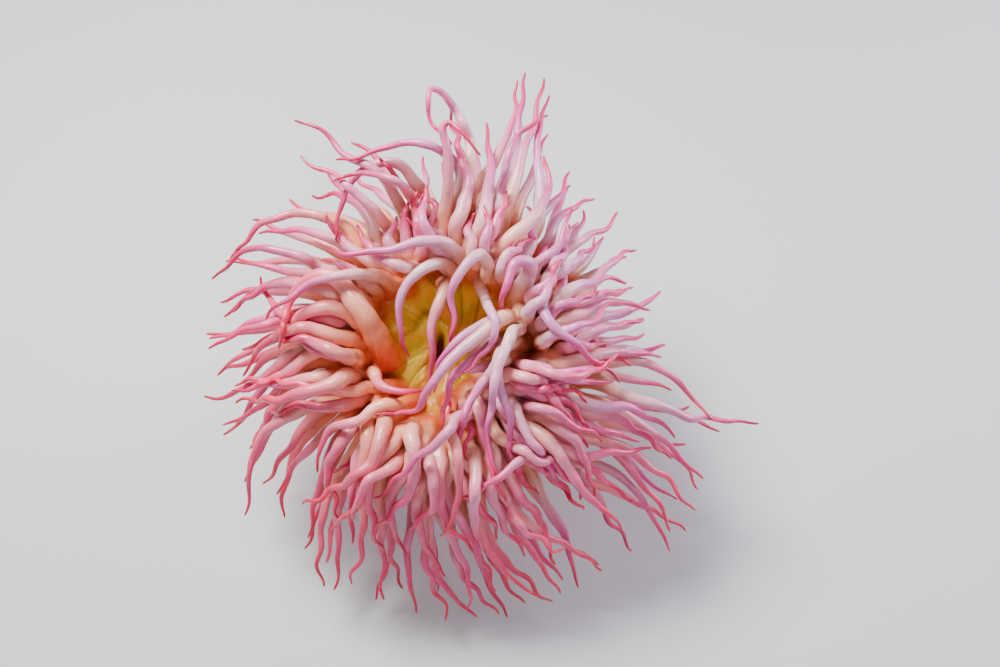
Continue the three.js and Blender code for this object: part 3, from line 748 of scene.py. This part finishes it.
def skin_line(one):
    """The middle line of one tentacle's skin, with the radius and the share of the length at
    each point. It starts below the disc."""
    line = to_world(one["line"])
    length = np.linalg.norm(np.diff(line, axis=0), axis=1).sum()
    count = int(length / RING_EVERY)
    line = crinkled(smooth_line(line, count), one["number"], length)
    t = np.linspace(0, 1, count + 1)
    run = t * length
    first = KNOT_PHASE * scatter(one["number"], "knots")
    beat = np.sin(run / KNOT_RUNS[0] + first) + np.sin(run / KNOT_RUNS[1] + 2 * first)
    knots = 1 + KNOTS * beat * (KNOT_LEAST + t)
    knots *= 1 + ROOT_FLARE * np.exp(-run / FLARE_RUN)
    radius = (SKIN_TIP + (SKIN_ROOT * one["thick"] - SKIN_TIP) * (1 - t) ** SKIN_TAPER) * knots
    round_end = np.clip((length - run) / (END_RUN * TIP_RADIUS), 0, 1)
    radius *= np.sqrt(1 - (1 - round_end) ** 2) * (1 - END_LEAST) + END_LEAST
    sunk = np.arange(ROOT_SUNK, 0, -RING_EVERY)[:, None]
    radius = np.pad(radius, (len(sunk), 0), "edge")
    down = FACE + outward_share(line[0])
    line = eased(np.concatenate([line[0] - down * sunk, line]), radius)
    return {"line": line, "radius": radius, "share": np.pad(t, (len(sunk), 0))}


def part_tentacles(skins):
    """Pushes the skins of neighbours apart, so that they touch but don't grow together."""
    owner = np.repeat(np.arange(len(skins)), [len(skin["line"]) for skin in skins])
    points = np.concatenate([skin["line"] for skin in skins])
    radius = np.concatenate([skin["radius"] for skin in skins])
    free = smoothstep(*PART_FREE, np.concatenate([skin["share"] for skin in skins]))
    starts = np.searchsorted(owner, np.arange(len(skins) + 1))
    for _ in range(PART_ROUNDS):
        move = np.zeros_like(points)
        for n in range(len(skins)):
            mine = slice(starts[n], starts[n + 1])
            low = points[mine].min(axis=0) - PART_REACH
            high = points[mine].max(axis=0) + PART_REACH
            close = np.nonzero(((points > low) & (points < high)).all(axis=1) & (owner != n))[0]
            away = points[mine][:, None] - points[close][None]
            apart = np.sqrt((away ** 2).sum(axis=2))
            short = radius[mine][:, None] + radius[close][None] + PART_ROOM - apart
            short = np.clip(short, 0, None)
            side = np.sign(away @ FACE)[..., None] * FACE * PART_LIFT
            push = (away / np.maximum(apart, LEAST_APART)[..., None] + side) * short[..., None]
            move[mine] = push.sum(axis=1) / np.maximum(1, (short > 0).sum(axis=1))[:, None]
        move *= PART_STEP * free[:, None]
        for _ in range(PART_BLUR):
            spread = move.copy()
            inner = (owner[1:-1] == owner[2:]) & (owner[1:-1] == owner[:-2])
            spread[1:-1][inner] = 0.25 * (move[:-2] + 2 * move[1:-1] + move[2:])[inner]
            move = spread
        points = points + move
    for n, skin in enumerate(skins):
        skin["line"] = points[starts[n]:starts[n + 1]]


def tentacle_mesh(skin, cell):
    line, radius = eased(skin["line"], skin["radius"]), skin["radius"]
    _, side, other = frames_along(line)
    angle = 2 * np.pi * np.arange(TUBE_SIDES) / TUBE_SIDES
    rings = (line[:, None] + side[:, None] * (radius[:, None] * np.cos(angle))[..., None]
             + other[:, None] * (radius[:, None] * np.sin(angle))[..., None])
    rows = len(line)
    points = np.concatenate([rings.reshape(-1, 3), line[:1], line[-1:]])
    faces = grid_faces(rows, TUBE_SIDES)
    uvs = grid_uvs(rows, TUBE_SIDES, cell, skin["share"])
    return points, *close_ends(faces, uvs, rows, TUBE_SIDES, cell)


def close_ends(faces, uvs, rows, sides, cell):
    j = np.arange(sides)
    k = (j + 1) % sides
    first = rows * sides
    start = np.stack([np.full(sides, first), k, j], axis=1)
    last = (rows - 1) * sides
    end = np.stack([np.full(sides, first + 1), last + j, last + k], axis=1)
    left, bottom, width, height = cell
    low = np.array([left, bottom + height / 2])
    high = np.array([left + width, bottom + height / 2])
    uv_start = np.broadcast_to(low, (sides, 3, 2))
    uv_end = np.broadcast_to(high, (sides, 3, 2))
    return np.concatenate([faces, start, end]), np.concatenate([uvs, uv_start, uv_end])


# ---- The body's own surface ------------------------------


def around_disc(radius, angle):
    return DISC_AT[0] + radius * np.sin(angle), DISC_AT[1] + radius * np.cos(angle)


def mouth_ring(across, up):
    """How far out a point lies from the mouth, where 1 is the mouth's outline."""
    turn = math.radians(MOUTH_TURN)
    dx = across - MOUTH_AT[0]
    dy = up - MOUTH_AT[1]
    wide = (dx * math.cos(turn) - dy * math.sin(turn)) / (MOUTH_WIDTH / 2)
    long = (dx * math.sin(turn) + dy * math.cos(turn)) / (MOUTH_LENGTH / 2)
    return np.hypot(wide, long)


def rise_and_fall(rise, fall, share):
    return smoothstep(*rise, share) * (1 - smoothstep(*fall, share))


def disc_seam(share, bearing):
    """1 along the seams that wander out from the mouth, and 0 between them."""
    angle = np.radians(bearing)
    wander = np.sin(SEAMS * angle + SEAM_WANDER * np.sin(3 * angle) + 6 * share)
    return np.exp(-(wander / SEAM_WIDTH) ** 2) * rise_and_fall(SEAM_RISE, SEAM_FALL, share)


def disc_detail(across, up, share, bearing):
    """Folds, creases, lips and mouth, above the plain disc. Numbers beside an angle are counts
    of waves, and those beside a share are how far the waves wander."""
    ring = mouth_ring(across, up)
    inside = 1 - smoothstep(*MOUTH_EDGE, ring)
    lip = np.exp(-((ring - LIP_RING) / LIP_WIDTH) ** 2)
    angle = np.radians(bearing)
    middle = rise_and_fall(FOLD_RISE, FOLD_FALL, share)
    folds = FOLD_HEIGHTS[0] * np.cos(7 * angle + 6 * share)
    folds = folds + FOLD_HEIGHTS[1] * np.cos(12 * angle - 9 * share + 1)
    creases = CREASE_HEIGHT * np.cos(CREASES * angle + 3 * np.sin(5 * angle))
    creases = creases * smoothstep(*CREASE_RISE, share)
    seams = SEAM_DEPTH * disc_seam(share, bearing)
    return LIP_HEIGHT * lip - MOUTH_DEPTH * inside + folds * middle + creases - seams


def crown_row(radius, height, angle):
    across, up = around_disc(radius, angle)
    return to_world(np.stack([across, up, height + 0 * angle], axis=1))


def disc_rows(edge, bearing, angle):
    for share in np.linspace(DISC_START, 1, DISC_RINGS):
        radius = share * edge
        across, up = around_disc(radius, angle)
        height = surface_level(share, bearing) + disc_detail(across, up, share, bearing)
        yield crown_row(radius, height, angle)


def rim_rows(edge, bearing, angle):
    rim = surface_level(1.0, bearing)
    for t in np.linspace(0, 1, RIM_RINGS)[1:]:
        bulge = RIM_BULGE * np.sin(np.pi * t)
        yield crown_row(edge + bulge - RIM_INSET * t, rim + (RIM_BOTTOM - rim) * t, angle)


def underside_rows(edge, angle):
    outer = edge * UNDERSIDE_EDGE
    for t in np.linspace(0, 1, UNDERSIDE_RINGS)[1:]:
        drop = (RIM_BOTTOM - MARGIN_UNDERSIDE) * smoothstep(0, 1, t) ** UNDERSIDE_CURVE
        yield crown_row(outer + (COLUMN_RADIUS + COLLAR - outer) * t, RIM_BOTTOM - drop, angle)


def foot_rows(angle):
    for t in np.linspace(0, 1, FOOT_RINGS)[1:]:
        radius = COLUMN_RADIUS + (FOOT_RADIUS - COLUMN_RADIUS) * t ** FOOT_CURVE
        height = FOOT_TOP + (FOOT_RIM - FOOT_TOP) * math.sin(t * math.pi / 2)
        yield foot_row(radius, height, angle)
    yield foot_row(FOOT_RADIUS + FOOT_ROLL[0], FOOT_ROLL[1], angle)
    for radius in (FOOT_RADIUS, FOOT_RADIUS * FOOT_MIDWAY, FOOT_MIDDLE):
        yield foot_row(radius, 0, angle)


def body_rows():
    """Rings from the middle of the disc round to the middle of the foot."""
    bearing = 360 * np.arange(BODY_SIDES) / BODY_SIDES
    angle = np.radians(bearing)
    edge = margin_radius(bearing)
    return np.array([
        *disc_rows(edge, bearing, angle),
        *rim_rows(edge, bearing, angle),
        *underside_rows(edge, angle),
        *(column_row(share, angle) for share in np.linspace(1, 0, COLUMN_RINGS)[1:]),
        *foot_rows(angle),
    ])


def column_row(share, angle):
    """A ring of the column, bending from the foot to the underside of the crown."""
    top = to_world([*DISC_AT, MARGIN_UNDERSIDE - GAP])
    start = np.array([0.0, 0.0, FOOT_TOP])
    bend = top - FACE * COLUMN_BEND * top[2]
    middle = (1 - share) ** 2 * start + 2 * share * (1 - share) * bend + share ** 2 * top
    lean = math.radians(90 - CROWN_RISE) * share
    back = np.array([0.0, math.cos(lean), math.sin(lean)])
    radius = COLUMN_WAIST + (COLUMN_RADIUS - COLUMN_WAIST) * (2 * share - 1) ** 2
    radius = radius + wrinkles(share, angle)
    return middle + radius[:, None] * (back * np.cos(angle)[:, None] + ACROSS * np.sin(angle)[:, None])


def wrinkles(share, angle):
    """Two sets of wrinkles up the column and one round it, with waves as in disc_detail."""
    up = 21 * angle + 2.5 * np.sin(3 * angle + 5 * share) + 2 * np.sin(9 * share)
    fine = 37 * angle - 3 * np.sin(2 * angle - 7 * share)
    round_it = 23 * share + 1.7 * np.sin(3 * angle) + 1.2 * np.sin(5 * angle + 8 * share)
    height = WRINKLE_HEIGHTS[0] * np.cos(up)
    height += WRINKLE_HEIGHTS[1] * np.cos(fine)
    height += WRINKLE_RINGS * np.sin(round_it)
    return height


def foot_row(radius, height, angle):
    wave = radius * (1 + FOOT_WAVE * np.cos(FOOT_WAVES * angle + 1) * min(1, radius / FOOT_RADIUS))
    return np.stack([wave * np.sin(angle), wave * np.cos(angle), height + 0 * angle], axis=1)


def body_mesh():
    """The body's rings run up the UV map, and a tentacle's across it, so the UVs are swapped."""
    rows = body_rows()
    count = len(rows)
    middle = rows.mean(axis=1)
    points = np.concatenate([rows.reshape(-1, 3), middle[:1], middle[-1:]])
    left, bottom, width, height = BODY_CELL
    cell = (bottom, left, height, width)
    faces = grid_faces(count, BODY_SIDES)
    uvs = grid_uvs(count, BODY_SIDES, cell, np.linspace(0, 1, count))
    faces, uvs = close_ends(faces, uvs, count, BODY_SIDES, cell)
    return points, faces, uvs[..., ::-1]


def tentacle_cell(number):
    columns, rows = TENTACLE_CELLS
    tall = (1 - BODY_CELL[3]) / rows
    left = (number % columns) / columns + CELL_MARGIN
    bottom = BODY_CELL[3] + (number // columns) * (1 - BODY_CELL[3]) / rows + CELL_MARGIN
    return left, bottom, 1 / columns - 2 * CELL_MARGIN, tall - 2 * CELL_MARGIN


def signed_volume(points, faces):
    a, b, c = (points[faces[:, k]] for k in range(3))
    return np.einsum("ij,ij->i", a, np.cross(b, c)).sum() / 6


def union_of(body, tubes):
    """One closed mesh of the body and all the tubes. It works in millimetres, because the
    solver stalls on very small coordinates."""
    join = body.modifiers.new("join", "BOOLEAN")
    join.operation = "UNION"
    join.solver = "MANIFOLD"
    join.operand_type = "COLLECTION"
    join.collection = tubes
    graph = bpy.context.evaluated_depsgraph_get()
    mesh = bpy.data.meshes.new_from_object(body.evaluated_get(graph))
    body.modifiers.clear()
    body.data = mesh
    for tube in list(tubes.objects):
        bpy.data.objects.remove(tube)
    bpy.data.collections.remove(tubes)
    return mesh


def keep_largest_island(mesh):
    """Drops the small closed bubbles that the union leaves between roots."""
    work = bmesh.new()
    work.from_mesh(mesh)
    bmesh.ops.triangulate(work, faces=work.faces)
    seen = set()
    islands = []
    for start in work.verts:
        if start in seen:
            continue
        island = [start]
        seen.add(start)
        for vertex in island:
            for edge in vertex.link_edges:
                other = edge.other_vert(vertex)
                if other not in seen:
                    seen.add(other)
                    island.append(other)
        islands.append(island)
    islands.sort(key=len)
    for island in islands[:-1]:
        bmesh.ops.delete(work, geom=island, context="VERTS")
    work.to_mesh(mesh)
    work.free()


def read(collection, name, width, kind=np.float32):
    values = np.empty(len(collection) * width, dtype=kind)
    collection.foreach_get(name, values)
    return values.reshape(-1, width) if width > 1 else values


def neighbour_mean(values, edges, count):
    total = np.zeros_like(values)
    for axis in range(values.shape[1]):
        total[:, axis] = np.bincount(edges[:, 0], values[edges[:, 1], axis], count)
        total[:, axis] += np.bincount(edges[:, 1], values[edges[:, 0], axis], count)
    hits = np.bincount(edges.ravel(), minlength=count)
    return total / np.maximum(1, hits)[:, None]


def near(mark, edges, rounds):
    """1 on the marked vertices, falling to 0 over that many rings of edges."""
    level = mark.astype(float)
    for _ in range(rounds):
        spread = level.copy()
        np.maximum.at(spread, edges[:, 0], level[edges[:, 1]] - 1 / rounds)
        np.maximum.at(spread, edges[:, 1], level[edges[:, 0]] - 1 / rounds)
        level = spread
    return level


def sources(mesh):
    """For each vertex: its piece (-1 is the body), whether it is on a joint, and its share
    along its tentacle and along the body's rings."""
    uv = read(mesh.uv_layers["OFBake"].uv, "vector", 2)
    corner = read(mesh.loops, "vertex_index", 1, np.int32)
    middle = uv.reshape(-1, 3, 2).mean(axis=1)
    columns, rows = TENTACLE_CELLS
    column = np.clip((middle[:, 0] * columns).astype(int), 0, columns - 1)
    row = ((middle[:, 1] - BODY_CELL[3]) / (1 - BODY_CELL[3]) * rows).astype(int)
    piece = np.where(middle[:, 1] < BODY_CELL[3], -1, row * columns + column)
    by_corner = np.repeat(piece, 3)
    count = len(mesh.vertices)
    low = np.full(count, columns * rows)
    high = np.full(count, -1)
    np.minimum.at(low, corner, by_corner)
    np.maximum.at(high, corner, by_corner)
    share = (uv[:, 0] * columns - np.repeat(column, 3)) * (by_corner >= 0)
    profile = uv[:, 1] / BODY_CELL[3] * (by_corner < 0)
    hits = np.bincount(corner, minlength=count)
    share = np.bincount(corner, share, count) / hits
    body_hits = np.bincount(corner, by_corner < 0, count)
    profile = np.bincount(corner, profile, count) / np.maximum(1, body_hits)
    return high, low != high, share, profile


def smooth_joints(points, edges, joint):
    """Roots run into the disc, and into each other, in a small hollow curve."""
    weight = near(joint, edges, JOINT_RINGS)[:, None]
    for _ in range(JOINT_ROUNDS):
        points = points + 0.5 * weight * (neighbour_mean(points, edges, len(points)) - points)
    return points


# ---- Colours ---------------------------------------------


def linear(*srgb):
    c = np.array(srgb) / 255
    return np.where(c <= 0.04045, c / 12.92, ((c + 0.055) / 1.055) ** 2.4)


def ramp(t, stops):
    at = [stop[0] for stop in stops]
    colours = np.array([linear(*stop[1]) for stop in stops])
    return np.stack([np.interp(t, at, colours[:, axis]) for axis in range(3)], axis=-1)


def tentacle_colours(piece, share, tentacles):
    """Colours along each tentacle. The body, piece -1, reads the last value of each list."""
    numbers = [one["number"] for one in tentacles]
    pale = np.array([one["pale"] for one in tentacles] + [0.0])[piece][:, None]
    tone = np.array([scatter(number, "tone") for number in numbers] + [0.5])[piece][:, None]
    late = np.array([scatter(number, "late") for number in numbers] + [0.5])[piece]
    t = np.clip(share ** (LATE[0] + LATE[1] * late), 0, 1)
    # The pale ramp adds a painted lavender highlight to the tentacles of one side.
    tentacle = ramp(t, WARM) * (1 - pale) + ramp(t, PALE_AND_HIGHLIGHT) * pale
    return tentacle * (TONE[0] + TONE[1] * tone)


def disc_colours(points):
    local = points - CROWN_CENTRE
    across = local @ ACROSS
    up = local @ UPRIGHT
    share, bearing = surface_under(across, up)
    disc = ramp(np.clip(share, 0, 1), DISC)
    # Painted shade: olive streaks over the inner disc.
    shade_streak = 0.5 + 0.5 * np.sin(np.radians(bearing) * SHADE_STREAKS + 4 * share)
    olive_shade = linear(*OLIVE_SHADE)
    disc = disc + (olive_shade - disc) * (SHADE_STREAK * shade_streak * (share < SHADE_STREAK_REACH))[:, None]
    # Painted shade: olive along the seams, which disc_detail also cuts in as grooves.
    disc = disc + (olive_shade - disc) * SEAM_SHADE * disc_seam(share, bearing)[:, None]
    mouth = mouth_ring(across, up)
    lip = np.exp(-((mouth - LIP_RING) / LIP_BLUR) ** 2)[:, None]
    disc = disc + (linear(*LIP) - disc) * lip * LIP_STRENGTH
    away = (across - STAIN_AT[0]) ** 2 + (up - STAIN_AT[1]) ** 2
    stain = np.exp(-away / STAIN_RADIUS ** 2)[:, None]
    disc = disc + (linear(*STAIN) - disc) * stain * STAIN_STRENGTH
    inside = (1 - smoothstep(*MOUTH_BLUR, mouth))[:, None]
    return disc + (linear(*MOUTH) - disc) * inside


def vertex_colours(points, piece, share, profile, tentacles):
    disc = disc_colours(points)
    under = smoothstep(CRIMSON_FROM, CRIMSON_FROM + CRIMSON_OVER, profile)[:, None]
    body = disc + (linear(*CRIMSON) - disc) * under
    return np.where((piece < 0)[:, None], body, tentacle_colours(piece, share, tentacles))


def paint(mesh, colours):
    layer_colour = mesh.attributes.new("flesh_colour", "FLOAT_COLOR", "POINT")
    rgba = np.concatenate([np.clip(colours, 0, 1), np.ones((len(colours), 1))], axis=1)
    layer_colour.data.foreach_set("color", rgba.astype(np.float32).ravel())


# ---- Materials -------------------------------------------

WARM_TINT = (0.86, 0.72, 0.70, 1)
SPECK_TINT = (0.16, 0.14, 0.15, 1)
MIX_FACTOR = 0  # the places of a mix node's colour sockets
MIX_A = 6
MIX_B = 7
MIX_RESULT = 2


def node(tree, kind, **values):
    made = tree.nodes.new(kind)
    for name, value in values.items():
        setattr(made, name, value)
    return made


def set_sockets(made, values):
    for name, value in values.items():
        made.inputs[name].default_value = value


def noise(tree, place, scale, detail, roughness=0.5):
    made = node(tree, "ShaderNodeTexNoise")
    set_sockets(made, {"Scale": scale, "Detail": detail, "Roughness": roughness})
    tree.links.new(place, made.inputs["Vector"])
    return made.outputs["Fac"]


def remap(tree, value, old, new):
    made = node(tree, "ShaderNodeMapRange")
    tree.links.new(value, made.inputs["Value"])
    names = ("From Min", "From Max", "To Min", "To Max")
    set_sockets(made, dict(zip(names, (*old, *new))))
    return made.outputs["Result"]


def feed(tree, socket, value):
    """Links an output to the socket, or sets a plain number or colour on it."""
    if isinstance(value, bpy.types.NodeSocket):
        tree.links.new(value, socket)
    else:
        socket.default_value = value


def mix(tree, blend, factor, a, b):
    made = node(tree, "ShaderNodeMix", data_type="RGBA", blend_type=blend)
    feed(tree, made.inputs[MIX_FACTOR], factor)
    feed(tree, made.inputs[MIX_A], a)
    feed(tree, made.inputs[MIX_B], b)
    return made.outputs[MIX_RESULT]


def flesh_material():
    material = bpy.data.materials.new("anemone_flesh")
    material.use_nodes = True
    tree = material.node_tree
    shader = tree.nodes["Principled BSDF"]
    place = node(tree, "ShaderNodeNewGeometry").outputs["Position"]
    colour = node(tree, "ShaderNodeAttribute", attribute_name="flesh_colour").outputs["Color"]
    patches = noise(tree, place, scale=90, detail=3)
    specks = noise(tree, place, scale=620, detail=4, roughness=0.6)
    gloss = noise(tree, place, scale=260, detail=4)
    warm = mix(tree, "MULTIPLY", 1.0, colour, WARM_TINT)
    colour = mix(tree, "MIX", remap(tree, patches, (0.3, 0.7), (0, 0.55)), colour, warm)
    light = mix(tree, "SCREEN", 1.0, colour, SPECK_TINT)
    colour = mix(tree, "MIX", remap(tree, specks, (0.52, 0.72), (0, 0.3)), colour, light)
    tree.links.new(colour, shader.inputs["Base Color"])
    roughness = remap(tree, gloss, (0.3, 0.7), (0.26, 0.42))
    tree.links.new(roughness, shader.inputs["Roughness"])
    set_sockets(shader, {
        "Subsurface Weight": 0.35,
        "Subsurface Radius": (1.0, 0.35, 0.25),
        "Subsurface Scale": 0.002,
        "Coat Weight": 0.5,
        "Coat Roughness": 0.24,
        "IOR": 1.4,
    })
    bump = node(tree, "ShaderNodeBump")
    set_sockets(bump, {"Strength": 0.5, "Distance": 0.0009})
    grain = noise(tree, place, scale=480, detail=5, roughness=0.55)
    tree.links.new(grain, bump.inputs["Height"])
    tree.links.new(bump.outputs["Normal"], shader.inputs["Normal"])
    return material


def floor_material():
    material = bpy.data.materials.new("studio_floor")
    material.use_nodes = True
    shader = material.node_tree.nodes["Principled BSDF"]
    set_sockets(shader, {"Base Color": (0.62, 0.63, 0.65, 1), "Roughness": 0.85})
    return material


# ---- The scene -------------------------------------------

FLOOR_HALF = 4  # metres


def paleness_and_highlight(one):
    """How pale a tentacle is, from 0 to 1: the most on one side of the crown, where the pale ramp also
    paints a lavender highlight.
    """
    bearing = math.degrees(math.atan2(one["line"][0][0], one["line"][0][1]))
    upper = 0.5 + 0.5 * math.cos(math.radians(bearing - PALE_AND_HIGHLIGHT_SIDE))
    pale = PALE_PLACE * upper + PALE_CHANCE * scatter(one["number"], "pale") - PALE_START
    return min(1.0, max(0.0, pale))


def add_tubes(tentacles):
    """The skin of each tentacle as a closed tube, in a collection for the body to join."""
    tubes = bpy.data.collections.new("tubes")
    bpy.context.scene.collection.children.link(tubes)
    skins = [skin_line(one) for one in tentacles]
    part_tentacles(skins)
    for one, skin in zip(tentacles, skins):
        cell = tentacle_cell(one["number"])
        make_object(f"tube_{one['number']}", tubes, *tentacle_mesh(skin, cell))
    return tubes


def add_skin():
    tentacles = all_tentacles()
    assert len(tentacles) <= TENTACLE_CELLS[0] * TENTACLE_CELLS[1]
    for one in tentacles:
        one["pale"] = paleness_and_highlight(one)
    body = make_object("anemone_skin", bpy.context.collection, *body_mesh())
    mesh = union_of(body, add_tubes(tentacles))
    keep_largest_island(mesh)
    points = read(mesh.vertices, "co", 3).astype(float)
    edges = read(mesh.edges, "vertices", 2, np.int32)
    piece, joint, share, profile = sources(mesh)
    points = smooth_joints(points, edges, joint)
    colours = vertex_colours(points, piece, share, profile, tentacles)
    blend = near(joint, edges, BLEND_RINGS)[:, None]
    for _ in range(BLEND_ROUNDS):
        colours = colours + 0.5 * blend * (neighbour_mean(colours, edges, len(colours)) - colours)
    mesh.vertices.foreach_set("co", (points * MM).astype(np.float32).ravel())
    paint(mesh, colours)
    mesh.polygons.foreach_set("use_smooth", np.ones(len(mesh.polygons), dtype=bool))
    mesh.update()
    mesh.materials.clear()
    mesh.materials.append(flesh_material())
    return body


def add_floor():
    mesh = bpy.data.meshes.new("floor")
    corners = [(x * FLOOR_HALF, y * FLOOR_HALF, 0) for x, y in ((-1, -1), (1, -1), (1, 1), (-1, 1))]
    mesh.from_pydata(corners, [], [(0, 1, 2, 3)])
    mesh.materials.append(floor_material())
    floor = bpy.data.objects.new("floor", mesh)
    bpy.context.collection.objects.link(floor)


def add_light(name, direction, distance, size, power, colour):
    """An area light that looks at the crown, from a direction in the crown's own frame."""
    data = bpy.data.lights.new(name, "AREA")
    data.shape = "DISK"
    data.size = size
    data.energy = power
    data.color = colour
    light = bpy.data.objects.new(name, data)
    away = direction[0] * ACROSS + direction[1] * UPRIGHT + direction[2] * FACE
    away = Vector(away).normalized()
    light.location = Vector(CROWN_CENTRE * MM) + away * distance
    light.rotation_euler = away.to_track_quat("Z", "Y").to_euler()
    bpy.context.collection.objects.link(light)


def add_lights():
    add_light("key", (-0.45, 0.9, 0.7), distance=0.8, size=0.36, power=18, colour=(1.0, 0.98, 0.97))
    add_light("fill", (0.25, -0.25, 1.0), distance=1.2, size=0.8, power=5, colour=(0.94, 0.94, 1.0))
    add_light("edge", (0.95, 0.45, 0.1), distance=0.9, size=0.35, power=8, colour=(0.90, 0.84, 1.0))
    world = bpy.data.worlds.new("studio")
    world.use_nodes = True
    background = world.node_tree.nodes["Background"]
    set_sockets(background, {"Color": (0.82, 0.84, 0.88, 1), "Strength": 0.17})
    bpy.context.scene.world = world


add_camera()
skin = add_skin()
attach(skin, "root")
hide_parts(*frame["nodes"])
add_floor()
add_lights()
